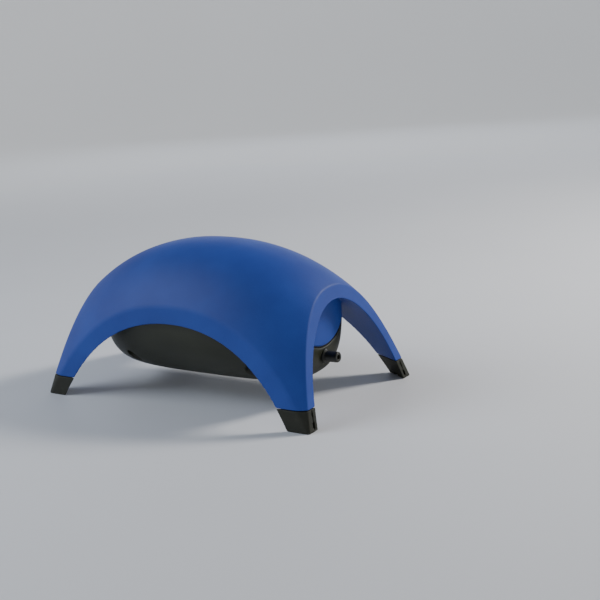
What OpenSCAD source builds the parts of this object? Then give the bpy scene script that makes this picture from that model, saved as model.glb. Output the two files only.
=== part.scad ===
// Domed aquarium air pump: an arched shell on four splayed legs, a hull-shaped
// bottom cover slung between them, and a vibrating-arm diaphragm pump inside.
// +X points out of the air nozzle, +Y to the rear, +Z up, feet on z = 0.

/* [Shell] */
// Half length at the feet
half_len = 82; // [81:0.5:84]
// Half width at the feet
half_wid = 48; // [47.5:0.5:50]
// Height of the dome above the floor
dome_h = 77.5; // [76:0.5:80]
// Inward lean of the end bands, mm per mm of height
end_lean = 0.25; // [0.24:0.01:0.26]
// Inward lean of the side bands, mm per mm of height
side_lean = 0.15; // [0.14:0.01:0.15]
// Shell wall thickness
wall = 2.5; // [2:0.1:2.8]
// Apex height of the side arches
side_arch_h = 42.5; // [42:0.5:43]
// Apex height of the end arches
end_arch_h = 50.3; // [50:0.1:51]

/* [Bottom cover] */
// Half length of the motor housing
house_a = 62.2; // [62:0.1:62.4]
// Half width of the motor housing
house_b = 39; // [38.8:0.1:39.2]
// Lowest point of the cover
cover_low = 7.6; // [7.4:0.1:7.8]
// Cover wall thickness
cover_wall = 2.2; // [2:0.1:2.3]
// Height of the seam at the middle of each end
seam_end = 26.2; // [26:0.1:26.4]
// Rise of the seam from the ends towards the long sides
seam_rise = 19.8; // [19:0.2:20]
// Gap at the seam
seam_gap = 0.8; // [0.6:0.1:0.9]

/* [Feet] */
// Height of each rubber foot
foot_h = 9.6; // [9:0.1:10]

/* [Air outlet] */
// Outer radius of the nozzle
nozzle_r = 2.7; // [2.6:0.05:2.8]
// Bore radius of the nozzle
nozzle_bore = 1.2; // [1:0.1:1.4]
// Height of the nozzle axis
nozzle_z = 21.6; // [21.5:0.1:21.8]
// Tip of the nozzle from the middle of the pump
nozzle_tip = 69.6; // [69:0.1:70]

/* [Cord inlet] */
// Bore radius of the cord grommet
cord_bore = 2.6; // [2.4:0.1:2.8]

/* [Pump drive] */
// Distance of the arm pivot from the middle
pivot_x = 48; // [47.8:0.1:48.2]
// Height of the arm pivot
arm_z = 40.5; // [40.4:0.1:40.6]
// Radius of the pivot pin
pin_r = 1.5; // [1.4:0.1:1.5]
// Centre of the pump chamber
chamber_x = 18; // [17.8:0.1:18.2]

/* [Hidden] */
$fn = 48;

BLUE = [0.13, 0.27, 0.55];
BLACK = [0.14, 0.15, 0.12];
RUBBER = [0.11, 0.12, 0.09];

// ---- dome surface: height falls with a power of the plan distance ----
da = 56.3; db = 29.8; dp = 2.317; dq = 2.264; dc1 = 11.907; dr = 0.88; dc2 = 1.4386;
function sgn(v) = v < 0 ? -1 : 1;
function spow(v, e) = sgn(v) * pow(abs(v), e);
function dome_z(s, h) = h - dc1 * pow(s, dr) - dc2 * pow(s, 2 * dr);
// closed solid under the dome, moved inward by t
module dome(t = 0, n = 60, m = 13, smax = 5.6) {
  s = [for (k = [1:m]) smax * pow(k / m, 1.55)];
  ring = function(k) [for (i = [0:n - 1]) let (c = cos(360 * i / n), q = sin(360 * i / n),
      f = 1 - t / (40 + 30 * min(1, s[k] / 2)))
    [da * pow(s[k], 1 / dp) * spow(c, 2 / dp) * f, db * pow(s[k], 1 / dq) * spow(q, 2 / dq) * f,
     dome_z(s[k], dome_h) - t * (1 - 0.75 * min(1, s[k] / 4))]];
  pts = concat([[0, 0, dome_h - t]], [for (k = [0:m - 1]) each ring(k)]);
  faces = concat(
    [for (i = [0:n - 1]) [0, 1 + (i + 1) % n, 1 + i]],
    [for (k = [0:m - 2], i = [0:n - 1]) each let (a = 1 + k * n + i, b = 1 + k * n + (i + 1) % n)
      [[a, b, b + n], [a, b + n, a + n]]],
    [[for (i = [0:n - 1]) 1 + (m - 1) * n + i]]);
  polyhedron(points = pts, faces = faces);
}
// space between the four leaning planes, moved inward by t, from height z0 up
module planes(t = 0, z0 = 0) {
  h = 85;
  intersection() {
    rotate([90, 0, 0]) linear_extrude(200, center = true) polygon([
      [-(half_len - t) + end_lean * z0, z0], [half_len - t - end_lean * z0, z0],
      [half_len - t - end_lean * h, h], [-(half_len - t) + end_lean * h, h]]);
    rotate([90, 0, 90]) linear_extrude(200, center = true) polygon([
      [-(half_wid - t) + side_lean * z0, z0], [half_wid - t - side_lean * z0, z0],
      [half_wid - t - side_lean * h, h], [-(half_wid - t) + side_lean * h, h]]);
  }
}
// arch outlines on the side and end bands, as height against distance
side_half = 69.6; end_half = 40.54;
function side_z(x) = let (u = x / side_half) side_arch_h * (1 - 0.66 * u * u - 0.30 * pow(u, 4) - 0.04 * pow(u, 6));
function end_z(y) = let (u = y / end_half) end_arch_h * (1 - 0.70 * u * u - 0.10 * pow(u, 4) - 0.20 * pow(u, 8));
function inv_side(z, lo = 0, hi = 90, n = 24) = n == 0 ? (lo + hi) / 2 :
  side_z((lo + hi) / 2) > z ? inv_side(z, (lo + hi) / 2, hi, n - 1) : inv_side(z, lo, (lo + hi) / 2, n - 1);
function inv_end(z, lo = 0, hi = 60, n = 24) = n == 0 ? (lo + hi) / 2 :
  end_z((lo + hi) / 2) > z ? inv_end(z, (lo + hi) / 2, hi, n - 1) : inv_end(z, lo, (lo + hi) / 2, n - 1);
module stack(rings) {
  n = len(rings[0]); m = len(rings);
  polyhedron(points = [for (r = rings) each r], faces = concat(
    [[for (i = [0:n - 1]) i]],
    [for (k = [0:m - 2], i = [0:n - 1]) each let (a = k * n + i, b = k * n + (i + 1) % n)
      [[b, a, a + n], [b, a + n, b + n]]],
    [[for (i = [n - 1:-1:0]) (m - 1) * n + i]]));
}
// the open vault under the shell, grown by e; its corners run straight from
// the side arch to the end arch and so form the flat inner face of each leg
module vault(e = 0, z0 = -1) {
  g = 0.6 * e; far = 9 + e;
  // the corner faces run a little past both bands, so no edge lies on a band
  low = function(z) let (xa0 = inv_side(z - e) + g, yd0 = inv_end(z - e) + g,
      yf0 = half_wid - side_lean * z, xe0 = half_len - end_lean * z, l = norm([xe0 - xa0, yf0 - yd0]),
      dx = 2 * (xe0 - xa0) / l, dy = 2 * (yf0 - yd0) / l,
      xa = max(0.05, xa0 - dx), yf = yf0 + dy, xe = xe0 + dx, yd = yd0 - dy)
    [[xa, -yf], [xe, -yd], [xe + far, -yd], [xe + far, yd], [xe, yd], [xa, yf], [xa, yf + far], [-xa, yf + far],
     [-xa, yf], [-xe, yd], [-xe - far, yd], [-xe - far, -yd], [-xe, -yd], [-xa, -yf], [-xa, -yf - far], [xa, -yf - far]];
  ztop = side_arch_h + e - 0.02;
  zs = [for (k = [0:14]) let (u = k / 14) z0 + (ztop - z0) * (1 - pow(1 - u, 1.7))];
  stack([for (z = zs) [for (p = low(z)) [p[0], p[1], z]]]);
  high = function(z) let (yd = inv_end(z - e) + g, xe = half_len - end_lean * z + 1.7, ya = min(30, yd + 18))
    [[0, -ya], [xe, -yd], [xe + far, -yd], [xe + far, yd], [xe, yd], [0, ya], [-xe, yd], [-xe - far, yd], [-xe - far, -yd], [-xe, -yd]];
  zt = end_arch_h + e - 0.02;
  zh = [for (k = [0:7]) let (u = k / 7) side_arch_h + e - 3 + (zt - side_arch_h - e + 3) * (1 - pow(1 - u, 1.8))];
  stack([for (z = zh) [for (p = high(z)) [p[0], p[1], z]]]);
}
// motor housing outline
hn = 3.2;
function house(t = 0, n = 56) = [for (i = [0:n - 1]) let (c = cos(360 * i / n), q = sin(360 * i / n))
  [(house_a - t) * spow(c, 2 / hn), (house_b - t) * spow(q, 2 / hn)]];
module prism(t, z0, z1) translate([0, 0, z0]) linear_extrude(z1 - z0) polygon(house(t));
// everything below the seam, which dips over the nozzle and the cord inlet
function seam_z(y) = seam_end + seam_rise * (1 - exp(-0.0245 * y * y / seam_rise));
module below_seam(dz = 0) rotate([90, 0, 90]) linear_extrude(160, center = true) polygon(concat(
  [[52.5, -5], [-52.5, -5]], [for (i = [-21:21]) let (y = i * 2.5) [y, seam_z(y) + dz]]));
// hull shape of the cover, moved inward by t
module bowl(t = 0, n = 56) {
  z0 = 40; zb = cover_low + t * 1.05; mx = 5.3; my = 2;
  hs = [for (k = [0:9]) let (u = k / 9) 0.9985 * (1 - pow(1 - u, 2.0))];
  stack(concat(
    [for (k = [9:-1:0]) let (h = hs[k], A = (house_a - t) * pow(1 - pow(h, mx), 1 / mx), B = (house_b - t) * pow(1 - pow(h, my), 1 / my))
      [for (i = [0:n - 1]) let (c = cos(360 * i / n), q = sin(360 * i / n))
        [A * spow(c, 2 / hn), B * spow(q, 2 / hn), z0 - h * (z0 - zb)]]],
    [[for (p = house(t, n)) [p[0], p[1], 50]]]));
}
screw_x = 37.5; screw_y = 27; screw_seat = 26.5;
plate_z = 17.5; plate_t = 3; top_z = plate_z + plate_t;
// places of the four chassis dampers
module at_dampers() for (x = [-40, 38], y = [-6.3, 6.3]) translate([x, y, 0]) children();
module at4(x, y) for (sx = [-1, 1], sy = [-1, 1]) translate([sx * x, sy * y, 0]) children();

// ---- outer pieces ----
module top_shell() color(BLUE) resize([0, 0, 0]) {
  difference() {
    union() {
      difference() {
        intersection() { dome(); planes(0, foot_h + 0.3); }
        difference() { vault(); prism(0, -10, 90); }
        difference() {
          intersection() { dome(wall); planes(wall, -5); }
          difference() { vault(wall); prism(wall, -10, 90); }
        }
      }
      intersection() {
        dome(1);
        at4(screw_x, screw_y) translate([0, 0, 34]) cylinder(r = 3.8, h = 40, $fn = 32);
      }
    }
    difference() { intersection() { below_seam(seam_gap); prism(-0.3, -10, 60); } at4(screw_x, screw_y) translate([0, 0, 32.5]) cylinder(r = 4.3, h = 10, $fn = 28); }
    at4(screw_x, screw_y) translate([0, 0, 30]) cylinder(r = 1.6, h = 24, $fn = 24);
    for (i = [0, 1], j = [0, 1]) mirror([i, 0, 0]) mirror([0, j, 0]) foot_peg(0.03, 0.3);
  }
}
module bottom_cover() color(BLACK) resize([0, 0, 0]) difference() {
  union() {
    difference() {
      intersection() { bowl(); below_seam(0); }
      bowl(cover_wall);
    }
    // upstanding lip inside the shell
    intersection() {
      difference() { prism(wall + 0.4, 20, 50); prism(wall + 1.7, 15, 55); }
      below_seam(2.6);
      difference() { translate([-80, -60, 0]) cube([160, 120, 60]); below_seam(-4); }
      planes(wall + 0.5);
    }
    intersection() { bowl(0.4); at4(screw_x, screw_y) cylinder(r = 4.6, h = 33.6, $fn = 32); }
    intersection() { bowl(0.4); at_dampers() cylinder(r = 4, h = 14.5, $fn = 32); }
    // ring that holds the inlet filter
    intersection() { bowl(0.4); cylinder(r = 14.5, h = 16.8); }
  }
  translate([0, 0, 13.3]) cylinder(r = 12.8, h = 10);
  at4(screw_x, screw_y) { cylinder(r = 3.4, h = screw_seat, $fn = 32); cylinder(r = 1.65, h = 60, $fn = 24); }
  at_dampers() translate([0, 0, 10.6]) cylinder(r = 1.25, h = 10, $fn = 24);
  for (i = [-2:2]) translate([i * 4 - 0.9, -7, 5]) cube([1.8, 14, 12]);
  translate([50, 0, nozzle_z]) rotate([0, 90, 0]) cylinder(r = 3.3, h = 20);
  translate([-50, 0, nozzle_z]) rotate([0, -90, 0]) cylinder(r = 3.9, h = 20);
}
module cover_gasket() color([0.07, 0.07, 0.07]) resize([0, 0, 0]) intersection() {
  difference() { prism(0.7, 20, 50); prism(wall - 0.1, 15, 55); }
  below_seam(seam_gap - 0.05);
  difference() { translate([-80, -60, 0]) cube([160, 120, 60]); below_seam(0.05); }
  planes(wall + 0.4);
}
module cover_screws() color("silver") at4(screw_x, screw_y) difference() {
  union() {
    translate([0, 0, screw_seat - 2]) cylinder(r = 2.9, h = 2);
    translate([0, 0, screw_seat]) cylinder(r = 1.5, h = 27);
  }
  translate([0, 0, screw_seat - 3]) cylinder(r = 0.5, h = 2.4, $fn = 24);
  for (a = [0, 90]) rotate(a) translate([-1.5, -0.3, screw_seat - 3]) cube([3, 0.6, 2.2]);
}
// rubber foot: the last stretch of a leg, with a peg up into the leg
foot_lo = [[82, 40.54], [82, 46], [80.6, 47.4], [77.8, 48], [69.6, 48]];
foot_hi = [[79.57, 38.34], [79.57, 43.7], [78.4, 45.4], [74.4, 46.54], [63.7, 46.54]];
foot_mid = [for (i = [0:4]) foot_lo[i] + (foot_hi[i] - foot_lo[i]) * foot_h / 9.75];
// peg, grown by the share g and lengthened by e for its pocket
module foot_peg(g = 0, e = 0) {
  c = [75.2, 43.1];
  ring = [for (p = foot_mid) c + (p - c) * (0.5 + g)];
  stack([[for (p = ring) [p[0], p[1], foot_h - 1]], [for (p = ring) [p[0] - 1.1, p[1] - 0.6, foot_h + 5 + e]]]);
}
module foot() {
  difference() {
    union() {
      stack([[for (p = foot_lo) [p[0], p[1], 0]], [for (p = foot_mid) [p[0], p[1], foot_h]]]);
      foot_peg();
    }
    translate([82.4, 43.4, 2.0]) rotate([0, -14, 0]) cube([1.6, 0.9, 14], center = true);
    translate([75.5, 44.2, -1]) cylinder(r = 1.6, h = 2.4, $fn = 24);
  }
}
module front_right_foot() color(RUBBER) mirror([0, 1, 0]) foot();
module front_left_foot() color(RUBBER) mirror([0, 1, 0]) mirror([1, 0, 0]) foot();
module rear_right_foot() color(RUBBER) foot();
module rear_left_foot() color(RUBBER) mirror([1, 0, 0]) foot();

module outlet_nozzle() color(BLACK) translate([0, 0, nozzle_z]) rotate([0, 90, 0]) difference() {
  union() {
    translate([0, 0, 56]) cylinder(r = 3.2, h = 6.2);
    translate([0, 0, 55.3]) cylinder(r = 3.9, h = 1.8);
    translate([0, 0, 61.95]) cylinder(r = 3.6, h = 0.95);
    translate([0, 0, 61.9]) cylinder(r = nozzle_r, h = nozzle_tip - 62.5);
    translate([0, 0, nozzle_tip - 0.6]) cylinder(r1 = nozzle_r, r2 = nozzle_r - 0.6, h = 0.6);
    translate([0, 0, 48.5]) cylinder(r = 2.2, h = 7.5);
  }
  translate([0, 0, 40]) cylinder(r = nozzle_bore, h = 40);
}
module cord_grommet() color([0.08, 0.08, 0.08]) translate([0, 0, nozzle_z]) rotate([0, -90, 0]) difference() {
  union() {
    translate([0, 0, 53.2]) cylinder(r = 4.9, h = 1.9);
    translate([0, 0, 55]) cylinder(r = 3.7, h = 8);
    translate([0, 0, 62.2]) cylinder(r = 5.2, h = 1.4);
    translate([0, 0, 63.6]) cylinder(r1 = 5.2, r2 = 4.1, h = 1.2);
  }
  translate([0, 0, 50]) cylinder(r = cord_bore, h = 20);
}
module air_hose() color([0.75, 0.8, 0.78]) translate([0, 0, nozzle_z]) rotate([0, 90, 0]) difference() {
  translate([0, 0, 36.4]) cylinder(r = 3.4, h = 18.2);
  translate([0, 0, 30]) cylinder(r = 2.2, h = 40);
}
module inlet_filter() color([0.85, 0.84, 0.78]) translate([0, 0, 13.4]) cylinder(r = 12.5, h = 3);

// ---- chassis ----
module chassis() color([0.78, 0.78, 0.74]) difference() {
  union() {
    translate([-40, -18.6, plate_z]) cube([80, 37.2, plate_t]);
    translate([-52, -12, plate_z]) cube([104, 24, plate_t]);
    for (s = [-1, 1]) translate([pivot_x - 5, s * 10.5 - 1.5, plate_z]) cube([9, 3, arm_z + 5 - plate_z]);
    for (s = [-1, 1]) translate([pivot_x - 12, s * 10.5 - 1.5, plate_z]) cube([8, 3, 12]);
    // cradle under the core
    for (x = [-51, -35]) translate([x, -7, plate_z]) cube([6, 14, 4 + plate_t]);
    for (s = [-1, 1]) translate([-51, s * 9 - 1.5, plate_z]) cube([5, 3, 14]);
  }
  for (s = [-1, 1]) translate([pivot_x, 0, arm_z]) rotate([90, 0, 0]) cylinder(r = pin_r + 0.02, h = 40, center = true);
  at_dampers() translate([0, 0, plate_z - 1]) cylinder(r = 1.5, h = 8, $fn = 24);
  translate([34.4, -4, plate_z - 1]) cube([18.8, 8, 6]);
  translate([chamber_x - 8, 0, plate_z - 1]) cylinder(r = 3, h = 6);
  for (x = [chamber_x - 14.5, chamber_x + 14.5], y = [-12, 12]) translate([x, y, plate_z - 1]) cylinder(r = 1.1, h = 6, $fn = 24);
  for (s = [-1, 1]) translate([-48, s * 9, 27]) rotate([90, 0, 0]) cylinder(r = 1.3, h = 8, center = true, $fn = 24);
}
module chassis_dampers() color([0.1, 0.1, 0.1]) at_dampers() difference() {
  translate([0, 0, 14.5]) cylinder(r = 3.0, h = plate_z - 14.5);
  translate([0, 0, 10]) cylinder(r = 1.5, h = 12);
}
module chassis_screws() color("silver") at_dampers() difference() {
  union() {
    translate([0, 0, top_z]) cylinder(r = 2.6, h = 1.8);
    translate([0, 0, 11.2]) cylinder(r = 1.2, h = top_z - 11);
  }
  for (a = [0, 90]) rotate(a) translate([-1.4, -0.3, top_z + 0.9]) cube([2.8, 0.6, 2]);
}

// ---- electromagnet ----
core_lo = arm_z - 16; core_hi = arm_z + 16; pole_x = -24;
module magnet_core() color([0.45, 0.46, 0.48]) difference() {
  translate([-52, -7, core_lo]) cube([28, 14, 32]);
  for (z = [core_lo + 5, arm_z + 4]) translate([-46, -8, z]) cube([30, 16, 7]);
  translate([-49, 0, core_lo - 1]) cylinder(r = 1.3, h = 34, $fn = 24);
}
module coil_bobbin() color([0.9, 0.89, 0.82]) difference() {
  union() {
    for (x = [-45.8, -27.2]) translate([x, -14.5, arm_z - 10.6]) cube([1.6, 29, 21.2]);
    translate([-45.8, -8.2, arm_z - 5.2]) cube([20.2, 16.4, 10.4]);
  }
  translate([-50, -7.1, arm_z - 4.1]) cube([30, 14.2, 8.2]);
}
module rrect(x, y, r) { square([x - 2 * r, y], center = true); square([x, y - 2 * r], center = true);
  for (i = [-1, 1], j = [-1, 1]) translate([i * (x / 2 - r), j * (y / 2 - r)]) circle(r); }
module coil_winding() color([0.72, 0.4, 0.22]) translate([-44.1, 0, arm_z]) rotate([0, 90, 0]) linear_extrude(16.8) difference() {
  rrect(17.6, 25, 3);
  square([10.5, 16.5], center = true);
}
module coil_tape() color([0.85, 0.75, 0.25]) translate([-43.6, 0, arm_z]) rotate([0, 90, 0]) linear_extrude(15.8) difference() {
  rrect(18.6, 26, 3.5);
  rrect(17.7, 25.1, 3);
}
module core_clamp() color([0.75, 0.76, 0.78]) difference() {
  union() {
    translate([-51, -8.6, core_hi]) cube([8, 17.2, 1.2]);
    for (s = [-1, 1]) translate([-51, s * 7.85 - 0.6, 32]) cube([4.8, 1.2, core_hi - 32 + 1.2]);
    for (s = [-1, 1]) translate([-51, s > 0 ? 7.25 : -8.45, 31.6]) cube([4.8, 1.2, 2]);
  }
  translate([-49, 0, core_hi - 1]) cylinder(r = 1.4, h = 4, $fn = 24);
}
module core_screws() color("silver") {
  translate([-49, 0, core_hi + 1.2]) cylinder(r = 2.4, h = 1.6);
  translate([-49, 0, core_lo + 0.4]) cylinder(r = 1.2, h = core_hi - core_lo + 1);
}
module rod(a, b, r) { d = b - a; l = norm(d);
  translate(a) rotate([0, acos(d[2] / l), atan2(d[1], d[0])]) cylinder(r = r, h = l); }
// round lead that follows the points p, with its rings carried along the way
function unit(v) = v / norm(v);
module lead(p, r, n = 10) {
  m = len(p) - 1;
  t = [for (i = [0:m]) unit(p[min(i + 1, m)] - p[max(i - 1, 0)])];
  carry = function(i) i == 0 ? unit(cross(t[0], [1, 0, 0])) : let (u = carry(i - 1)) unit(u - (u * t[i]) * t[i]);
  stack([for (i = [0:m]) let (u = carry(i), v = cross(t[i], u))
    [for (k = [0:n - 1]) p[i] + r * (cos(360 * k / n) * u + sin(360 * k / n) * v)]]);
}
module lead_wires() color([0.1, 0.1, 0.1]) for (s = [-1, 1])
  lead([[-53.2, s * 11, 34], [-52.5, s * 9.3, 24], [-52.4, s * 8.4, 22.5], [-52.4, s * 6.8, 21.9],
    [-52.3, s * 4, 21.8], [-52.15, s * 2.4, 21.7], [-52.1, s * 1.4, nozzle_z]], 0.8);
module crimp_caps() color([0.9, 0.9, 0.85]) for (s = [-1, 1]) difference() {
  rod([-50.5, s * 11.7, 38], [-53.6, s * 11, 33], 1.7);
  rod([-53.24, s * 11.1, 34.6], [-52.5, s * 9.3, 24], 0.88);
}

// ---- moving arm ----
module swing_arm() color([0.88, 0.88, 0.84]) difference() {
  union() {
    translate([-15, -6.5, arm_z - 2]) cube([pivot_x + 15, 13, 4]);
    for (s = [-1, 1]) translate([-15, s * 5.5 - 1, arm_z + 1]) cube([pivot_x + 12, 2, 4]);
    translate([pivot_x, 0, arm_z]) rotate([90, 0, 0]) cylinder(r = 5, h = 16, center = true);
    translate([-17, -8.5, arm_z - 10.8]) cube([2.2, 17, 21.6]);
  }
  translate([pivot_x, 0, arm_z]) rotate([90, 0, 0]) cylinder(r = 3, h = 30, center = true);
  translate([chamber_x, 0, arm_z - 5]) cylinder(r = 1.5, h = 12, $fn = 24);
  for (x = [30, 4, -7]) translate([x, 0, arm_z - 4]) cylinder(r = 3, h = 8, $fn = 24);
}
module pivot_bush() color([0.12, 0.12, 0.12]) translate([pivot_x, 0, arm_z]) rotate([90, 0, 0]) difference() {
  union() { cylinder(r = 3, h = 16, center = true); for (s = [-1, 1]) translate([0, 0, s * 8.35]) cylinder(r = 4.4, h = 0.7, center = true); }
  cylinder(r = pin_r + 0.06, h = 20, center = true);
}
module pivot_pin() color("silver") translate([pivot_x, 0, arm_z]) rotate([90, 0, 0]) cylinder(r = pin_r, h = 27, center = true);
module pin_clips() color([0.5, 0.5, 0.52]) for (s = [-1, 1]) translate([pivot_x, s * 12.6, arm_z]) rotate([90, 0, 0]) difference() {
  cylinder(r = 3, h = 0.8, center = true);
  cylinder(r = pin_r, h = 2, center = true);
}
module magnet_yoke() color([0.6, 0.61, 0.63]) translate([-18.2, -8.5, arm_z - 10.8]) cube([1.2, 17, 21.6]);
module arm_magnets() color([0.2, 0.2, 0.22]) for (s = [-1, 1]) translate([-22.4, -7.5, arm_z + s * 5.3 - 4.6]) cube([4.2, 15, 9.2]);

// ---- diaphragm pump ----
cx = chamber_x;
module on_corners() for (x = [-14.5, 14.5], y = [-12, 12]) translate([cx + x, y, 0]) children();
module block(z0, h) translate([cx - 17, -15, z0]) cube([34, 30, h]);
z_base = top_z; z_plate = 25; z_body = 27; z_rim = 30; z_ring = 31.2; z_top = arm_z - 3.5;
module chamber_base() color([0.82, 0.82, 0.78]) difference() {
  union() {
    block(z_base, z_plate - z_base);
    translate([cx + 16.5, 0, nozzle_z]) rotate([0, 90, 0]) cylinder(r = 2.2, h = 6.5);
    translate([cx + 10, -5, z_base]) cube([7, 10, 4]);
  }
  translate([cx - 14, -7, z_base + 1.6]) cube([12, 14, 4]);
  translate([cx + 1.5, -7, z_base + 0.8]) cube([12, 14, 5]);
  translate([cx - 8, 0, z_base - 1]) cylinder(r = 2.4, h = 6);
  translate([cx + 10, 0, nozzle_z]) rotate([0, 90, 0]) cylinder(r = 1.2, h = 20);
  on_corners() translate([0, 0, 10]) cylinder(r = 1.1, h = 20, $fn = 24);
}
module valve_plate() color([0.7, 0.7, 0.66]) difference() {
  block(z_plate, z_body - z_plate);
  for (y = [-2.6, 2.6]) { translate([cx - 8.5, y, 20]) cylinder(r = 1.2, h = 10, $fn = 24); translate([cx + 8.5, y, 20]) cylinder(r = 1.2, h = 10, $fn = 24); }
  on_corners() translate([0, 0, 10]) cylinder(r = 1.1, h = 20, $fn = 24);
}
module pump_chamber() color([0.82, 0.82, 0.78]) difference() {
  block(z_body, z_rim - z_body);
  translate([cx, 0, z_body - 1]) cylinder(r = 13, h = 10);
  on_corners() translate([0, 0, 10]) cylinder(r = 1.1, h = 30, $fn = 24);
}
module diaphragm() color([0.13, 0.13, 0.13]) translate([cx, 0, 0]) rotate_extrude($fn = 64) polygon([
  [0, z_top - 1.4], [4.2, z_top - 1.4], [6.6, z_rim + 1.0], [8.6, z_rim + 0.3], [10.6, z_rim], [13.3, z_rim],
  [13.3, z_ring], [10.8, z_ring], [9.2, z_rim + 1.6], [7.6, z_rim + 2.0], [5.4, z_top], [0, z_top]]);
module clamp_ring() color([0.75, 0.75, 0.7]) difference() {
  block(z_rim, 3.4);
  translate([cx, 0, z_rim - 1]) cylinder(r = 13.4, h = 2.2);
  translate([cx, 0, z_rim - 1]) cylinder(r = 11, h = 10);
  on_corners() translate([0, 0, 10]) cylinder(r = 1.1, h = 40, $fn = 24);
}
module ring_screws() color("silver") on_corners() difference() {
  union() { translate([0, 0, z_rim + 3.4]) cylinder(r = 2.2, h = 1.5); translate([0, 0, plate_z + 0.4]) cylinder(r = 1.0, h = z_rim + 3.4 - plate_z); }
  for (a = [0, 90]) rotate(a) translate([-1.2, -0.25, z_rim + 4.2]) cube([2.4, 0.5, 2]);
}
module diaphragm_washers() color([0.8, 0.8, 0.82]) translate([cx, 0, z_top]) difference() {
  cylinder(r = 5.2, h = 1.5); translate([0, 0, -1]) cylinder(r = 1.3, h = 4, $fn = 24); }
module diaphragm_screw() color("silver") translate([cx, 0, 0]) difference() {
  union() { translate([0, 0, arm_z + 2]) cylinder(r = 2.6, h = 1.8); translate([0, 0, z_top]) cylinder(r = 1.2, h = arm_z + 2.2 - z_top); }
  for (a = [0, 90]) rotate(a) translate([-1.4, -0.3, arm_z + 3]) cube([2.8, 0.6, 2]);
}
// flap valves: a rubber strip that swings about its inner edge
module inlet_flap() color([0.55, 0.2, 0.12]) translate([0, 0, z_body + 0.1]) union() {
  translate([cx - 11, -4.4, 0]) cube([8.6, 8.8, 0.6]);
  translate([cx - 2.4, 0, 0.45]) rotate([90, 0, 0]) cylinder(r = 0.45, h = 8.8, center = true, $fn = 24);
}
module outlet_flap() color([0.55, 0.2, 0.12]) translate([0, 0, z_plate - 0.7]) union() {
  translate([cx + 3.4, -4.4, 0]) cube([8.0, 8.8, 0.6]);
  translate([cx + 3.4, 0, 0.15]) rotate([90, 0, 0]) cylinder(r = 0.45, h = 8.8, center = true, $fn = 24);
}

top_shell();
bottom_cover();
cover_gasket();
cover_screws();
front_left_foot();
front_right_foot();
rear_left_foot();
rear_right_foot();
outlet_nozzle();
cord_grommet();
air_hose();
inlet_filter();
chassis();
chassis_dampers();
chassis_screws();
magnet_core();
coil_bobbin();
coil_winding();
coil_tape();
core_clamp();
core_screws();
lead_wires();
crimp_caps();
swing_arm();
magnet_yoke();
arm_magnets();
pivot_bush();
pivot_pin();
pin_clips();
diaphragm();
diaphragm_washers();
diaphragm_screw();
clamp_ring();
ring_screws();
pump_chamber();
valve_plate();
chamber_base();
inlet_flap();
outlet_flap();
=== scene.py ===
import math
import bpy
import numpy as np
from mathutils import Matrix, Vector


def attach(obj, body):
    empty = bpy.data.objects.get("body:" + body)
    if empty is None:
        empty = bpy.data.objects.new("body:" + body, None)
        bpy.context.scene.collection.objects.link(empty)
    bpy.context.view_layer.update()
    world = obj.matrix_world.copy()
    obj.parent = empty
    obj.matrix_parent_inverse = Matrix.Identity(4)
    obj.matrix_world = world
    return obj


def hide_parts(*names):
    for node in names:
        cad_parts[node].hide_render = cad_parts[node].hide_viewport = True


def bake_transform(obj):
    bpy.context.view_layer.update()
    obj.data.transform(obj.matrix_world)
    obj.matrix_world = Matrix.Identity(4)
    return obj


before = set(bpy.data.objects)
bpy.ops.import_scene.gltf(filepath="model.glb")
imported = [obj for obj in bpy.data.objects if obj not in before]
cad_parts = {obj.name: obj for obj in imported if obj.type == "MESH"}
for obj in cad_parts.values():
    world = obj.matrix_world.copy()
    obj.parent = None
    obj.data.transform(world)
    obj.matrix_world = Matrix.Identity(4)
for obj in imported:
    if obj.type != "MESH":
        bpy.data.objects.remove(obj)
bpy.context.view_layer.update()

MM = 0.001

# ----------------------------------------------------------------------------
# Surfaces of the pump as signed distance functions, in millimetres. They are
# symmetric in x and y, so they read the absolute values.
# ----------------------------------------------------------------------------
DA, DB, DP, DQ, C1, RR, C2, HT = 56.3, 29.8, 2.317, 2.264, 11.907, 0.88, 1.4386, 77.5
HA, HB, HN = 62.2, 39.0, 3.2
LOW = 7.6
WALL = 2.5
NOZ_Z = 21.6


def dome(x, y, z):
    u, v = x / DA, y / DB
    s = np.maximum(u ** DP + v ** DQ, 1e-5)
    dz = C1 * RR * s ** (RR - 1) + 2 * RR * C2 * s ** (2 * RR - 1)
    gx = dz * DP / DA * u ** (DP - 1)
    gy = dz * DQ / DB * v ** (DQ - 1)
    return (z - (HT - C1 * s ** RR - C2 * s ** (2 * RR))) / np.sqrt(1 + gx * gx + gy * gy)


def side(y, z):
    return (y - (48 - 0.15 * z)) / math.hypot(1, 0.15)


def end(x, z):
    return (x - (82 - 0.25 * z)) / math.hypot(1, 0.25)


def side_z(x):
    u2 = (x / 69.6) ** 2
    return 42.5 * (1 - 0.66 * u2 - 0.30 * u2 ** 2 - 0.04 * u2 ** 3)


def side_dz(x):
    u = x / 69.6
    return -42.5 * (1.32 * u + 1.2 * u ** 3 + 0.24 * u ** 5) / 69.6


def end_z(y):
    u2 = (y / 40.54) ** 2
    return 50.3 * (1 - 0.70 * u2 - 0.10 * u2 ** 2 - 0.20 * u2 ** 4)


def end_dz(y):
    u = y / 40.54
    return -50.3 * (1.4 * u + 0.4 * u ** 3 + 1.6 * u ** 7) / 40.54


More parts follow.
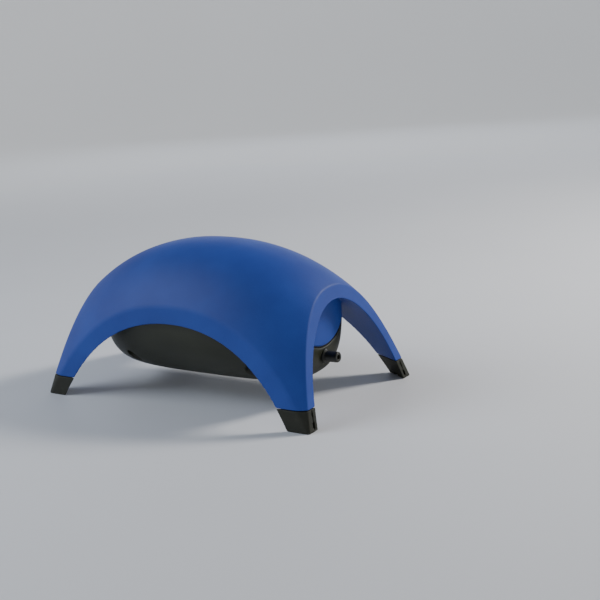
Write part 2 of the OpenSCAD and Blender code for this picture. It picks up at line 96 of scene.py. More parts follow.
# slope of each leg's flat inner face in plan, by height
_t = np.linspace(0, 90, 4000)
_zs = np.linspace(-6, 40, 200)
_xa = np.interp(_zs, side_z(_t)[::-1], _t[::-1])
_yd = np.interp(_zs, end_z(_t)[::-1], _t[::-1])
_m = ((48 - 0.15 * _zs) - _yd) / ((82 - 0.25 * _zs) - _xa)
_zs = np.append(_zs, [42.5, 46, 50.3, 80])
_m = np.append(_m, [0.385, 0.365, 0.35, 0.35])
_xa = np.append(_xa, [8, 0, 0, 0])


def leg_slope(z):
    return np.interp(z, _zs, _m)


def vault(x, y, z):
    """Negative in the open space under the arches."""
    m = leg_slope(z)
    X = np.maximum(0, x - ((48 - 0.15 * z) - y) / m)
    Y = np.maximum(0, y - ((82 - 0.25 * z) - x) * m)
    ds, de = side_dz(X), end_dz(Y)
    a = (z - side_z(X)) / np.sqrt(1 + ds * ds * (1 + 1 / m ** 2))
    b = (z - end_z(Y)) / np.sqrt(1 + de * de * (1 + m * m))
    # both say the same along a leg: the first is right at the side band, the second at the end band
    xe = 82 - 0.25 * z
    w = np.clip(((xe - x) / (xe - np.interp(z, _zs, _xa)) - 0.35) / 0.3, 0, 1)
    w = w * w * (3 - 2 * w)
    return b + (a - b) * w


def house(x, y, t=0.0):
    """Plan outline of the motor housing, moved inward by t."""
    a, b = HA - t, HB - t
    u, v = x / a, y / b
    r = np.maximum((u ** HN + v ** HN) ** (1 / HN), 0.05)
    g = r ** (1 - HN) * np.sqrt((u ** (HN - 1) / a) ** 2 + (v ** (HN - 1) / b) ** 2)
    return (r - 1) / np.maximum(g, 1 / a)


def seam(y, z, up):
    """Height above the seam, which dips over the nozzle and the cord inlet."""
    w = np.exp(-0.0245 * y * y / 19.8)
    q = 0.049 * y * w
    return (z - 26.2 - 19.8 * (1 - w) - up) / np.sqrt(1 + q * q)


def bowl(x, y, z, t=0.0):
    """Hull of the bottom cover, moved inward by t."""
    zb = LOW + 1.05 * t
    h = np.clip((40 - z) / (40 - zb), 0, 0.9998)
    A = (HA - t) * (1 - h ** 5.3) ** (1 / 5.3)
    B = (HB - t) * (1 - h ** 2) ** 0.5
    u, v = x / A, y / B
    r = np.maximum((u ** HN + v ** HN) ** (1 / HN), 0.05)
    gx = r ** (1 - HN) * u ** (HN - 1) / A
    gy = r ** (1 - HN) * v ** (HN - 1) / B
    # how fast A and B close towards the keel
    ka = h ** 4.3 / (1 - h ** 5.3) / (40 - zb)
    kb = h / (1 - h ** 2) / (40 - zb)
    gz = (gx * x * ka + gy * y * kb)
    d = (r - 1) / np.maximum(np.sqrt(gx * gx + gy * gy + gz * gz), 1 / 40)
    return smax(d, zb + 0.03 - z, 0.5)


def smax(a, b, k):
    h = np.maximum(k - np.abs(a - b), 0) / k
    return np.maximum(a, b) + h * h * k / 4


def smin(a, b, k):
    return -smax(-a, -b, k)


def rod(x, y, cx, cy, r):
    return np.sqrt((x - cx) ** 2 + (y - cy) ** 2) - r


def shell_sdf(x, y, z):
    x, y = np.abs(x), np.abs(y)
    d, s, e = dome(x, y, z), side(y, z), end(x, z)
    v, hs = vault(x, y, z), house(x, y)
    body = smax(smax(d, s, 0.7), e, 0.48)
    body = smax(body, 9.9 - z, 0.4)
    body = smax(body, -smax(v, -hs, 0.8), 0.5)
    inner = np.maximum(np.maximum(d, s), e) + WALL
    inner = np.maximum(inner, -np.maximum(v - WALL, -(hs + WALL)))
    body = smax(body, -inner, 0.3)
    post = np.maximum(np.maximum(rod(x, y, 37.5, 27, 3.8), 34 - z), d + 1)
    body = smax(body, -np.maximum(hs - 0.3, seam(y, z, 0.8)), 0.7)
    body = np.minimum(body, post)
    return np.maximum(body, -np.maximum(rod(x, y, 37.5, 27, 1.6), z - 54))


def cover_sdf(X, Y, z):
    x, y = np.abs(X), np.abs(Y)
    sm = seam(y, z, 0.0)
    hs = house(x, y)
    body = smax(smax(bowl(x, y, z), sm, 0.5), -bowl(x, y, z, 2.2), 0.3)
    lip = np.maximum(np.maximum(np.maximum(hs + WALL + 0.4, -(hs + WALL + 1.7)), seam(y, z, 2.6)), -seam(y, z, -4))
    lip = np.maximum(lip, side(y, z) + WALL + 0.5)
    body = np.minimum(body, lip)
    b4 = bowl(x, y, z, 0.4)
    body = np.minimum(body, np.maximum(b4, np.maximum(rod(x, y, 37.5, 27, 4.6), z - 33.6)))
    # damper posts and the filter ring
    damp = np.minimum(rod(X, y, -40, 6.3, 4.0), rod(X, y, 38, 6.3, 4.0))
    body = np.minimum(body, np.maximum(b4, np.maximum(damp, z - 14.5)))
    ring = np.sqrt(x * x + y * y)
    body = np.minimum(body, np.maximum(b4, np.maximum(ring - 14.5, z - 16.8)))
    body = np.maximum(body, -np.maximum(ring - 12.8, 13.3 - z))
    body = smax(body, -np.maximum(rod(x, y, 37.5, 27, 3.4), z - 26.5), 0.5)
    body = np.maximum(body, -rod(x, y, 37.5, 27, 1.65))
    slots = np.abs((x + 2) % 4 - 2) - 0.9
    slots = np.maximum(np.maximum(slots, x - 9.5), np.maximum(y - 7, z - 17))
    body = smax(body, -slots, 0.35)
    tube = np.sqrt(y * y + (z - NOZ_Z) ** 2)
    body = np.maximum(body, -np.maximum(tube - 3.3, 50 - X))
    return np.maximum(body, -np.maximum(tube - 3.9, 50 + X))


def foot_sdf(X, Y, z):
    x, y = np.abs(X), np.abs(Y)
    d, s, e, v = dome(x, y, z), side(y, z), end(x, z), vault(x, y, z)
    boot = smax(smax(d, s, 0.5), e, 0.5)
    boot = smax(smax(boot, -v, 0.35), -z + 0.0, 0.4)
    boot = smax(boot, z - 9.6, 0.3)
    # moulded groove down the end face, with two recesses in it
    g = np.maximum(np.abs(y - (43.1 - 0.2 * z)) - 0.28, -(e + 0.45))
    g = np.maximum(g, np.abs(z - 5.0) - 4.2)
    boot = smax(boot, -g, 0.3)
    r1 = np.maximum(np.maximum(np.abs(y - (43.1 - 0.2 * z)) - 0.55, -(e + 1.1)), np.abs(z - 7.0) - 1.0)
    r2 = np.maximum(np.maximum(np.abs(y - (43.1 - 0.2 * z)) - 0.75, -(e + 1.3)), np.abs(z - 2.6) - 1.4)
    boot = smax(boot, -np.minimum(r1, r2), 0.3)
    boot = smax(boot, -np.maximum(rod(x, y, 75.5, 44.2, 1.6), z - 1.4), 0.3)
    peg = smax(np.maximum(np.maximum(d, s), e) + 2.9, -v + 2.9, 0.6)
    peg = np.maximum(np.maximum(peg, z - 14.0), 8 - z)
    return np.minimum(boot, peg)


# ----------------------------------------------------------------------------
# Distance function to mesh: surface nets, then each point is moved onto the
# surface, and its normal is the slope of the distance function.
# ----------------------------------------------------------------------------
def slope(f, p, e=0.004):
    g = np.empty_like(p)
    for a in range(3):
        q = p.copy()
        q[:, a] += e
        hi = f(q[:, 0], q[:, 1], q[:, 2])
        q[:, a] -= 2 * e
        g[:, a] = (hi - f(q[:, 0], q[:, 1], q[:, 2])) / (2 * e)
    return g


def nets(f, lo, hi, h, mirror=(False, False)):
    lo, hi = np.array(lo, float), np.array(hi, float)
    for a in range(2):
        if mirror[a]:
            lo[a] = -h / 2
    n = np.ceil((hi - lo) / h).astype(int) + 1
    ax = [lo[a] + h * np.arange(n[a]) for a in range(3)]
    F = np.empty(n, np.float32)
    for i in range(0, n[0], 24):
        F[i:i + 24] = f(ax[0][i:i + 24, None, None], ax[1][None, :, None], ax[2][None, None, :])
    S = F < 0
    cnt = np.zeros(n - 1, np.uint8)
    for i in (0, 1):
        for j in (0, 1):
            for k in (0, 1):
                cnt += S[i:n[0] - 1 + i, j:n[1] - 1 + j, k:n[2] - 1 + k]
    act = (cnt > 0) & (cnt < 8)
    ids = np.argwhere(act)
    index = -np.ones(act.shape, np.int64)
    index[act] = np.arange(len(ids))
    P, W = np.zeros((len(ids), 3)), np.zeros(len(ids))
    for a in range(3):
        o1, o2 = [b for b in range(3) if b != a]
        for i in (0, 1):
            for j in (0, 1):
                off = np.zeros(3, int)
                off[o1], off[o2] = i, j
                c0 = ids + off
                c1 = c0.copy()
                c1[:, a] += 1
                f0 = F[c0[:, 0], c0[:, 1], c0[:, 2]].astype(float)
                f1 = F[c1[:, 0], c1[:, 1], c1[:, 2]].astype(float)
                m = (f0 < 0) != (f1 < 0)
                t = f0[m] / (f0[m] - f1[m])
                q = np.tile(off.astype(float), (m.sum(), 1))
                q[:, a] += t
                P[m] += q
                W[m] += 1
    P = lo + (ids + P / W[:, None]) * h
    start = P.copy()
    for step in range(5):
        g = slope(f, P)
        v = f(P[:, 0], P[:, 1], P[:, 2])
        d = g * (v / np.maximum((g * g).sum(1), 0.05))[:, None]
        size = np.linalg.norm(d, axis=1)
        d *= np.minimum(1, 0.4 * h / np.maximum(size, 1e-9))[:, None]
        P -= d
        P = start + np.clip(P - start, -0.75 * h, 0.75 * h)
        for a in range(2):
            if mirror[a]:
                P[ids[:, a] == 0, a] = 0
    N = slope(f, P)
    for a in range(2):
        if mirror[a]:
            N[ids[:, a] == 0, a] = 0
    N /= np.maximum(np.linalg.norm(N, axis=1), 1e-9)[:, None]
    quads = []
    for a in range(3):
        b, c = (a + 1) % 3, (a + 2) % 3
        sl0, sl1 = [slice(None)] * 3, [slice(None)] * 3
        sl0[a], sl1[a] = slice(0, n[a] - 1), slice(1, n[a])
        s0, s1 = S[tuple(sl0)], S[tuple(sl1)]
        e = np.argwhere(s0 != s1)
        e = e[(e[:, b] > 0) & (e[:, c] > 0) & (e[:, b] < n[b] - 1) & (e[:, c] < n[c] - 1)]
        inside = s0[e[:, 0], e[:, 1], e[:, 2]]
        cells = []
        for db, dc in ((-1, -1), (0, -1), (0, 0), (-1, 0)):
            q = e.copy()
            q[:, b] += db
            q[:, c] += dc
            cells.append(index[q[:, 0], q[:, 1], q[:, 2]])
        q = np.stack(cells, 1)
        q[~inside] = q[~inside][:, ::-1]
        quads.append(q)
    Q = np.concatenate(quads)
    for a in range(2):
        if mirror[a]:
            on = P[:, a] == 0
            other = np.where(on, np.arange(len(P)), 0)
            other[~on] = len(P) + np.arange((~on).sum())
            P2, N2 = P[~on].copy(), N[~on].copy()
            P2[:, a] *= -1
            N2[:, a] *= -1
            Q = np.concatenate([Q, other[Q][:, ::-1]])
            P, N = np.concatenate([P, P2]), np.concatenate([N, N2])
    return P, Q, N


def mesh_object(name, P, Q, N=None, material=None):
    me = bpy.data.meshes.new(name)
    used = np.unique(Q)
    remap = -np.ones(len(P), np.int64)
    remap[used] = np.arange(len(used))
    P, Q = P[used] * MM, remap[Q]
    me.vertices.add(len(P))
    me.vertices.foreach_set("co", P.astype(np.float32).ravel())
    me.loops.add(Q.size)
    me.loops.foreach_set("vertex_index", Q.astype(np.int32).ravel())
    me.polygons.add(len(Q))
    me.polygons.foreach_set("loop_start", (np.arange(len(Q)) * Q.shape[1]).astype(np.int32))
    me.update(calc_edges=True)
    me.validate()
    me.polygons.foreach_set("use_smooth", np.ones(len(me.polygons), bool))
    if N is not None and len(me.vertices) == len(P):
        me.normals_split_custom_set_from_vertices(N[used].astype(np.float32))
    ob = bpy.data.objects.new(name, me)
    bpy.context.scene.collection.objects.link(ob)
    if material is not None:
        me.materials.append(material)
    return ob


def lathe(name, profile, axis, centre, material, n=72, closed=True):
    """Turned piece: profile is (distance along the axis, radius) in mm."""
    prof = np.array(profile, float)
    t = 2 * math.pi * np.arange(n) / n
    P, Q = [], []
    ax = {"x": (0, 1, 2), "z": (2, 0, 1)}[axis]
    for a, r in prof:
        ring = np.zeros((n, 3))
        ring[:, ax[0]] = a
        ring[:, ax[1]] = r * np.cos(t)
        ring[:, ax[2]] = r * np.sin(t)
        P.append(ring + np.array(centre, float))
    m = len(prof)
    i = np.arange(n)
    for k in range(m if closed else m - 1):
        k2 = (k + 1) % m
        Q.append(np.stack([k * n + i, k2 * n + i, k2 * n + (i + 1) % n, k * n + (i + 1) % n], 1))
    ob = mesh_object(name, np.concatenate(P), np.concatenate(Q), None, material)
    import bmesh
    bm = bmesh.new()
    bm.from_mesh(ob.data)
    bmesh.ops.remove_doubles(bm, verts=bm.verts, dist=1e-6)
    bmesh.ops.dissolve_degenerate(bm, edges=bm.edges, dist=1e-7)
    bmesh.ops.recalc_face_normals(bm, faces=bm.faces)
    bm.to_mesh(ob.data)
    bm.free()
    return ob


def arc(cx, cr, r, a0, a1, n=6):
    """Points of a round on a lathe profile, angles in degrees from the axis."""
    return [(cx + r * math.cos(math.radians(a0 + (a1 - a0) * k / n)), cr + r * math.sin(math.radians(a0 + (a1 - a0) * k / n))) for k in range(n + 1)]


# ----------------------------------------------------------------------------
# Materials
# ----------------------------------------------------------------------------
def lin(r, g, b):
    f = lambda c: c / 255 / 12.92 if c / 255 <= 0.04045 else ((c / 255 + 0.055) / 1.055) ** 2.4
    return (f(r), f(g), f(b))


class Mat:
    def __init__(self, name, rough=0.5, metal=0.0, spec=0.5, sheen=0.0, coat=0.0, coat_rough=0.1, trans=0.0, ior=1.5):
        self.m = bpy.data.materials.new(name)
        self.m.use_nodes = True
        self.t = self.m.node_tree
        self.b = self.t.nodes["Principled BSDF"]
        self.b.inputs["Roughness"].default_value = rough
        self.b.inputs["Metallic"].default_value = metal
        self.b.inputs["Specular IOR Level"].default_value = spec
        self.b.inputs["IOR"].default_value = ior
        self.b.inputs["Sheen Weight"].default_value = sheen
        self.b.inputs["Coat Weight"].default_value = coat
        self.b.inputs["Coat Roughness"].default_value = coat_rough
        self.b.inputs["Transmission Weight"].default_value = trans
        self.co = self.t.nodes.new("ShaderNodeTexCoord").outputs["Object"]
        self.height = None

    def node(self, kind, **sets):
        n = self.t.nodes.new(kind)
        for k, v in sets.items():
            if k in n.inputs:
                n.inputs[k].default_value = v
            else:
                setattr(n, k, v)
        return n

    def link(self, a, b):
        self.t.links.new(a, b)

    def noise(self, scale, detail=2.0, rough=0.5, stretch=None, dist=0.0):
        co = self.co
        if stretch is not None:
            mp = self.node("ShaderNodeMapping")
            mp.inputs["Scale"].default_value = stretch
            self.link(co, mp.inputs["Vector"])
            co = mp.outputs["Vector"]
        n = self.node("ShaderNodeTexNoise", Scale=scale, Detail=detail, Roughness=rough, Distortion=dist)
        self.link(co, n.inputs["Vector"])
        return n.outputs["Fac"]

    def cells(self, scale, feature="F1"):
        n = self.node("ShaderNodeTexVoronoi", Scale=scale)
        n.feature = feature
        self.link(self.co, n.inputs["Vector"])
        return n.outputs["Distance"]

    def bands(self, scale, axis="X", dist=0.0, profile="SIN"):
        n = self.node("ShaderNodeTexWave", Scale=scale, Distortion=dist)
        n.wave_type, n.bands_direction, n.wave_profile = "BANDS", axis, profile
        self.link(self.co, n.inputs["Vector"])
        return n.outputs["Fac"]

    def ramp(self, fac, stops):
        n = self.node("ShaderNodeValToRGB")
        el = n.color_ramp.elements
        while len(el) < len(stops):
            el.new(0.5)
        for e, (p, c) in zip(el, stops):
            e.position = p
            e.color = (*c, 1)
        self.link(fac, n.inputs["Fac"])
        return n.outputs["Color"]

    def remap(self, fac, a, b, lo=0.0, hi=1.0):
        n = self.node("ShaderNodeMapRange")
        n.inputs["From Min"].default_value = lo
        n.inputs["From Max"].default_value = hi
        n.inputs["To Min"].default_value = a
        n.inputs["To Max"].default_value = b
        self.link(fac, n.inputs["Value"])
        return n.outputs["Result"]

    def mix(self, fac, a, b, mode="MIX"):
        n = self.node("ShaderNodeMix")
        n.data_type = "RGBA"
        n.blend_type = mode
        for socket, v in ((n.inputs["Factor"], fac), (n.inputs["A"] if False else n.inputs[6], a), (n.inputs[7], b)):
            if hasattr(v, "is_output"):
                self.link(v, socket)
            elif isinstance(v, (int, float)):
                socket.default_value = v
            else:
                socket.default_value = (*v, 1)
        return n.outputs[2]

    def math(self, op, a, b=0.5):
        n = self.node("ShaderNodeMath")
        n.operation = op
        for i, v in enumerate((a, b)):
            if hasattr(v, "is_output"):
                self.link(v, n.inputs[i])
            else:
                n.inputs[i].default_value = v
        return n.outputs[0]

    def color(self, out):
        self.link(out, self.b.inputs["Base Color"])

    def rough(self, out):
        self.link(out, self.b.inputs["Roughness"])

    def bump(self, out, distance, strength=1.0):
        n = self.node("ShaderNodeBump")
        n.inputs["Strength"].default_value = strength
        n.inputs["Distance"].default_value = distance
        self.link(out, n.inputs["Height"])
        if self.height is not None:
            self.link(self.height, n.inputs["Normal"])
        self.height = n.outputs["Normal"]
        self.link(self.height, self.b.inputs["Normal"])

    def edges(self, lo=0.5, hi=0.56):
        """Share of edge wear, from the curvature of the surface."""
        g = self.node("ShaderNodeNewGeometry")
        return self.remap(g.outputs["Pointiness"], 0.0, 1.0, lo, hi)


def blue_plastic():
    m = Mat("blue_plastic", rough=0.54, spec=0.26)
    base, deep, light = lin(43, 71, 153), lin(40, 65, 144), lin(47, 78, 163)
    cloud = m.noise(28, 3, 0.6)
    grain = m.noise(2600, 2, 0.65)
    c = m.ramp(cloud, [(0.30, deep), (0.52, base), (0.75, light)])
    speck = m.ramp(grain, [(0.32, (0.74, 0.78, 0.82)), (0.5, (1, 1, 1)), (0.70, (1.0, 1.0, 1.0))])
    c = m.mix(0.55, c, speck, "MULTIPLY")
    m.color(c)
    m.rough(m.remap(grain, 0.49, 0.62, 0.3, 0.7))
    m.bump(grain, 0.00007, 0.55)
    m.bump(m.noise(1100, 2, 0.5), 0.00008, 0.25)
    m.bump(m.noise(60, 2, 0.5), 0.0004, 0.03)
    return m.m


def black_plastic(name="black_plastic", tint=(41, 43, 29), rough=0.46, grain=3200, amount=0.3):
    m = Mat(name, rough=rough, spec=0.45)
    a = lin(*tint)
    cloud = m.noise(35, 3, 0.6)
    m.color(m.ramp(cloud, [(0.3, tuple(x * 0.82 for x in a)), (0.6, a), (0.85, tuple(x * 1.18 for x in a))]))
    g = m.noise(grain, 2, 0.6)
    m.rough(m.remap(g, rough - 0.05, rough + 0.08, 0.3, 0.7))
    m.bump(g, 0.00004, amount)
    m.bump(m.noise(90, 2, 0.5), 0.0003, 0.03)
    return m.m


def rubber(name="rubber", tint=(36, 37, 27), rough=0.62):
    m = Mat(name, rough=rough, spec=0.35)
    a = lin(*tint)
    dust = m.noise(240, 4, 0.65)
    m.color(m.ramp(dust, [(0.35, tuple(x * 0.85 for x in a)), (0.62, a), (0.80, tuple(x * 1.5 + 0.004 for x in a))]))
    g = m.noise(1900, 3, 0.7)
    m.rough(m.remap(g, rough - 0.06, rough + 0.1, 0.3, 0.7))
    m.bump(g, 0.00008, 0.35)
    return m.m


def steel(name, tint=(0.56, 0.56, 0.57), rough=0.32, axis=(1, 40, 40)):
    m = Mat(name, rough=rough, metal=1.0)
    s = m.noise(260, 3, 0.6, stretch=axis)
    m.color(m.ramp(s, [(0.3, tuple(x * 0.8 for x in tint)), (0.55, tint), (0.8, tuple(min(1, x * 1.12) for x in tint))]))
    m.rough(m.remap(s, rough - 0.08, rough + 0.14, 0.3, 0.7))
    m.bump(s, 0.00002, 0.25)
    return m.m


def moulded(name, tint, rough=0.42, trans=0.0):
    m = Mat(name, rough=rough, spec=0.5, trans=trans)
    cloud = m.noise(70, 3, 0.6)
    m.color(m.ramp(cloud, [(0.3, tuple(x * 0.88 for x in tint)), (0.55, tint), (0.8, tuple(min(1, x * 1.06) for x in tint))]))
    g = m.noise(2400, 2, 0.6)
    m.rough(m.remap(g, rough - 0.06, rough + 0.1, 0.3, 0.7))
    m.bump(g, 0.00003, 0.3)
    return m.m


def felt():
    m = Mat("felt", rough=0.95, spec=0.1, sheen=0.4)
    f = m.noise(900, 5, 0.75, dist=1.5)
    m.color(m.ramp(f, [(0.25, (0.40, 0.39, 0.33)), (0.5, (0.62, 0.61, 0.54)), (0.75, (0.74, 0.73, 0.67))]))
    m.bump(f, 0.0004, 0.9)
    return m.m


def laminations():
    m = Mat("laminated_steel", rough=0.5, metal=0.85)
    w = m.bands(630, "Y")
    s = m.noise(300, 3, 0.6)
    c = m.ramp(w, [(0.05, (0.07, 0.07, 0.075)), (0.35, (0.24, 0.25, 0.26)), (1.0, (0.30, 0.31, 0.32))])
    rust = m.ramp(s, [(0.55, (1, 1, 1)), (0.75, (0.72, 0.55, 0.42))])
    m.color(m.mix(0.5, c, rust, "MULTIPLY"))
    m.rough(m.remap(s, 0.4, 0.65, 0.3, 0.7))
    m.bump(w, 0.00008, 0.7)
    return m.m


def copper():
    m = Mat("copper_winding", rough=0.28, metal=0.9, coat=0.6, coat_rough=0.15)
    w = m.bands(790, "X", dist=0.4)
    m.color(m.ramp(w, [(0.0, (0.16, 0.05, 0.02)), (0.35, (0.55, 0.22, 0.10)), (1.0, (0.72, 0.33, 0.16))]))
    m.bump(w, 0.00012, 0.9)
    return m.m


def tape():
    m = Mat("polyester_tape", rough=0.22, coat=0.5, coat_rough=0.12)
    c = m.noise(120, 3, 0.6, stretch=(1, 6, 6))
    m.color(m.ramp(c, [(0.3, (0.58, 0.40, 0.05)), (0.6, (0.72, 0.54, 0.09)), (0.85, (0.80, 0.63, 0.16))]))
    m.bump(c, 0.00012, 0.4)
    return m.m


def hose():
    m = Mat("vinyl_hose", rough=0.25, trans=0.35, ior=1.45)
    c = m.noise(90, 2, 0.5)
    m.color(m.ramp(c, [(0.3, (0.50, 0.56, 0.54)), (0.7, (0.62, 0.68, 0.65))]))
    m.bump(m.noise(500, 2, 0.5), 0.00004, 0.3)
    return m.m


BLUE = blue_plastic()
BLACK = black_plastic()
NOZZLE = black_plastic("nozzle_black", (33, 34, 27), 0.40, 2600, 0.25)
FOOT = rubber("foot_rubber_black")
SEAL = rubber("seal_rubber_black", (24, 24, 24), 0.6)
INNER = moulded("natural_plastic", (0.55, 0.55, 0.50))
BOBBIN = moulded("ivory_nylon", (0.75, 0.73, 0.62), 0.36)
ARM = moulded("white_plastic", (0.70, 0.70, 0.64), 0.4)
ZINC = steel("zinc_steel")
STRIP = steel("pressed_steel", (0.50, 0.51, 0.53), 0.36, (30, 1, 30))
FLAP = rubber("flap_rubber_red", (150, 78, 52), 0.55)
DIAPH = rubber("diaphragm_black", (38, 38, 38), 0.5)
FERRITE = rubber("ferrite_black", (62, 62, 65), 0.5)
LOOKS = {
    "top_shell": BLUE, "bottom_cover": BLACK, "cover_gasket": SEAL, "cover_screws": ZINC,
    "front_left_foot": FOOT, "front_right_foot": FOOT, "rear_left_foot": FOOT, "rear_right_foot": FOOT,
    "outlet_nozzle": NOZZLE, "cord_grommet": SEAL, "air_hose": hose(), "inlet_filter": felt(),
    "chassis": INNER, "chassis_dampers": SEAL, "chassis_screws": ZINC,
    "magnet_core": laminations(), "coil_bobbin": BOBBIN, "coil_winding": copper(), "coil_tape": tape(),
    "core_clamp": STRIP, "core_screws": ZINC, "lead_wires": SEAL, "crimp_caps": BOBBIN,
    "swing_arm": ARM, "magnet_yoke": STRIP, "arm_magnets": FERRITE, "pivot_bush": SEAL,
    "pivot_pin": ZINC, "pin_clips": STRIP, "diaphragm": DIAPH, "diaphragm_washers": ZINC,
    "diaphragm_screw": ZINC, "clamp_ring": INNER, "ring_screws": ZINC, "pump_chamber": INNER,
    "valve_plate": INNER, "chamber_base": INNER, "inlet_flap": FLAP, "outlet_flap": FLAP,
}
for name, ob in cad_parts.items():
    ob.data.materials.clear()
    ob.data.materials.append(LOOKS[name])

# ----------------------------------------------------------------------------
# Pieces
# ----------------------------------------------------------------------------
P, Q, N = nets(shell_sdf, (0, 0, 8.6), (83.5, 49, 79), 0.40, (True, True))
shell = mesh_object("shell_blue", P, Q, N, BLUE)
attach(shell, "housing"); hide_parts("top_shell")

P, Q, N = nets(cover_sdf, (-63.6, 0, 6.6), (63.6, 40.2, 47.5), 0.5, (False, True))
cover = mesh_object("cover_black", P, Q, N, BLACK)
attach(cover, "housing"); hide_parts("bottom_cover")

P, Q, N = nets(foot_sdf, (61, 34, -0.8), (83, 49.2, 15), 0.24)
for name, sx, sy in (("rear_right_foot", 1, 1), ("front_right_foot", 1, -1), ("rear_left_foot", -1, 1), ("front_left_foot", -1, -1)):
    k = np.array([sx, sy, 1.0])
    boot = mesh_object("boot_" + name, P * k, Q if sx * sy > 0 else Q[:, ::-1], N * k, FOOT)
    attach(boot, "housing"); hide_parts(name)

C = (0, 0, NOZ_Z)
nozzle = lathe("nozzle", [(48.5, 1.2), (48.5, 1.9), (48.9, 2.2), (55.3, 2.2), (55.3, 3.9), (57.1, 3.9), (57.1, 3.2), (61.9, 3.2), (61.9, 3.6)]
               + arc(62.4, 3.2, 0.5, 90, 0, 5)[0:] + [(62.9, 2.95)] + arc(63.3, 2.95, 0.25, 180, 270, 4)
               + [(68.6, 2.68)] + arc(68.95, 2.03, 0.62, 85, 0, 6) + arc(69.25, 1.5, 0.3, 0, -90, 4) + [(69.0, 1.2)], "x", C, NOZZLE, 96)
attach(nozzle, "housing"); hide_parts("outlet_nozzle")

grommet = lathe("grommet", [(-53.2, 2.9), (-53.4, 4.6), (-53.6, 4.9), (-54.9, 4.9), (-55.1, 3.7), (-62.15, 3.7), (-62.15, 4.9)]
                + [(-62.4, 5.15), (-63.4, 5.2), (-63.9, 5.05), (-64.6, 4.4), (-64.8, 4.0), (-64.8, 3.2), (-64.5, 2.75), (-64.0, 2.6), (-53.5, 2.6)], "x", C, SEAL, 72)
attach(grommet, "housing"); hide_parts("cord_grommet")

cx = 18.0
cup = [(35.6, 0.0), (35.6, 3.9), (35.2, 4.6), (33.4, 5.6), (31.6, 6.5), (30.7, 7.3), (30.25, 8.6), (30.0, 10.6), (30.0, 13.3), (31.2, 13.3), (31.2, 10.9),
       (31.35, 9.6), (31.8, 8.4), (32.2, 7.5), (33.6, 6.8), (35.4, 6.0), (36.6, 5.5), (37.0, 5.0), (37.0, 0.0)]
dia = lathe("diaphragm_cup", cup, "z", (cx, 0, 0), DIAPH, 96)
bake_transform(dia)
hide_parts("diaphragm")


def shade(ob, angle=35):
    me = ob.data
    me.polygons.foreach_set("use_smooth", np.ones(len(me.polygons), bool))
    me.set_sharp_from_angle(angle=math.radians(angle))


for ob in (nozzle, grommet, dia):
    shade(ob)

# ----------------------------------------------------------------------------
# Floor, light and camera
# ----------------------------------------------------------------------------
floor_m = Mat("floor", rough=0.6, spec=0.3)
fl = floor_m.noise(3.0, 3, 0.5)
floor_m.color(floor_m.ramp(fl, [(0.3, (0.66, 0.67, 0.69)), (0.7, (0.70, 0.71, 0.73))]))
nt = floor_m.m.node_tree
# painted light: the floor and sweep glow, from nothing near the pump to brightest out towards the wall, standing in
# for a lit backdrop
tc = nt.nodes.new("ShaderNodeTexCoord")
ln = nt.nodes.new("ShaderNodeVectorMath")
ln.operation = "LENGTH"
mr = nt.nodes.new("ShaderNodeMapRange")
mr.interpolation_type = "SMOOTHSTEP"
for k, val in (("From Min", 0.28), ("From Max", 1.25), ("To Min", 0.0), ("To Max", 0.34)):
    mr.inputs[k].default_value = val
nt.links.new(tc.outputs["Object"], ln.inputs[0])
nt.links.new(ln.outputs["Value"], mr.inputs["Value"])
nt.links.new(mr.outputs["Result"], floor_m.b.inputs["Emission Strength"])
floor_m.b.inputs["Emission Color"].default_value = (0.96, 0.98, 1.0, 1.0)

# the floor is a round sweep: flat, then turning up into a low pale wall
sweep = [(0.0, 0.0), (0.3, 0.0), (0.7, 0.0), (1.1, 0.0), (1.5, 0.0)]
sweep += [(1.5 + 0.5 * math.sin(math.radians(t)), 0.5 - 0.5 * math.cos(math.radians(t))) for t in range(5, 91, 5)]
sweep += [(2.0, 0.8)]
NS = 144
ca = np.cos(np.arange(NS) * 2 * math.pi / NS)
sa = np.sin(np.arange(NS) * 2 * math.pi / NS)
fp = [np.zeros((1, 3))]
for r, z in sweep[1:]:
    fp.append(np.stack([r * ca, r * sa, np.full(NS, z)], 1))
fp = np.concatenate(fp) * 1000
fq = [(0, 1 + i, 1 + (i + 1) % NS) for i in range(NS)]
ff = [(1 + k * NS + i, 1 + (k + 1) * NS + i, 1 + (k + 1) * NS + (i + 1) % NS, 1 + k * NS + (i + 1) % NS) for k in range(len(sweep) - 2) for i in range(NS)]
fm = bpy.data.meshes.new("floor")
fm.from_pydata((fp * 0.001).tolist(), [], fq + ff)
fm.polygons.foreach_set("use_smooth", np.ones(len(fm.polygons), bool))
fm.materials.append(floor_m.m)
fm.update()
floor = bpy.data.objects.new("floor", fm)
bpy.context.scene.collection.objects.link(floor)
floor.location.z = -0.00002

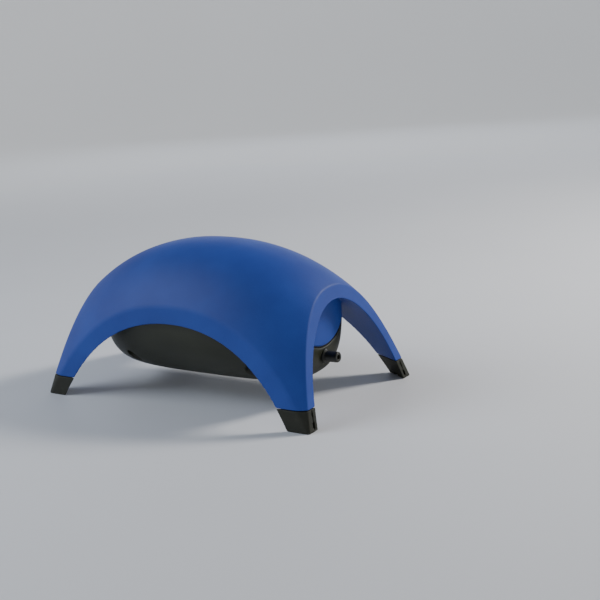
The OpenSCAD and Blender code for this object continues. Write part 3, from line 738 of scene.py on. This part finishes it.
world = bpy.data.worlds.new("studio")
bpy.context.scene.world = world
world.use_nodes = True
world.node_tree.nodes["Background"].inputs["Color"].default_value = (0.80, 0.86, 0.95, 1)
world.node_tree.nodes["Background"].inputs["Strength"].default_value = 0.135


def lamp(name, at, target, size, power, color=(1, 1, 1)):
    d = bpy.data.lights.new(name, "AREA")
    d.shape, d.size, d.size_y = "RECTANGLE", size[0], size[1]
    d.energy, d.color = power, color
    o = bpy.data.objects.new(name, d)
    bpy.context.scene.collection.objects.link(o)
    o.location = at
    o.rotation_mode = "QUATERNION"
    o.rotation_quaternion = (Vector(target) - Vector(at)).to_track_quat("-Z", "Y")
    return o


lamp("key", (0.46, 0.52, 0.52), (0, 0, 0.03), (0.18, 0.18), 6.6, (1.0, 0.97, 0.94))
lamp("sheen", (-0.54, -0.42, 0.58), (0, 0, 0.04), (0.60, 0.50), 4.9, (0.80, 0.88, 1.0))
lamp("edge", (-0.60, 1.15, 0.50), (0, 0, 0.05), (1.0, 0.5), 1.8, (0.80, 0.86, 1.0))

AZ, EL_, DIST, FPX = math.radians(38.56), math.radians(14.48), 0.5886, 1140.5
PAN, TILT, ROLL = math.radians(-4.09), math.radians(-1.10), math.radians(-4.11)
v = Vector((math.sin(AZ) * math.cos(EL_), -math.cos(AZ) * math.cos(EL_), math.sin(EL_)))
a2, e2 = AZ + PAN, EL_ + TILT
v2 = Vector((math.sin(a2) * math.cos(e2), -math.cos(a2) * math.cos(e2), math.sin(e2)))
right = (-v2).cross(Vector((0, 0, 1))).normalized()
up = right.cross(-v2)
r2 = right * math.cos(ROLL) + up * math.sin(ROLL)
u2 = up * math.cos(ROLL) - right * math.sin(ROLL)
cam_d = bpy.data.cameras.new("camera")
cam_d.sensor_width = 36
cam_d.lens = FPX / 600 * 36
cam_d.clip_start, cam_d.clip_end = 0.01, 50
cam = bpy.data.objects.new("camera", cam_d)
bpy.context.scene.collection.objects.link(cam)
rot = Matrix((r2, u2, v2)).transposed()
cam.matrix_world = Matrix.Translation(Vector((0, 0, 0.03)) + DIST * v) @ rot.to_4x4()
bpy.context.scene.camera = cam
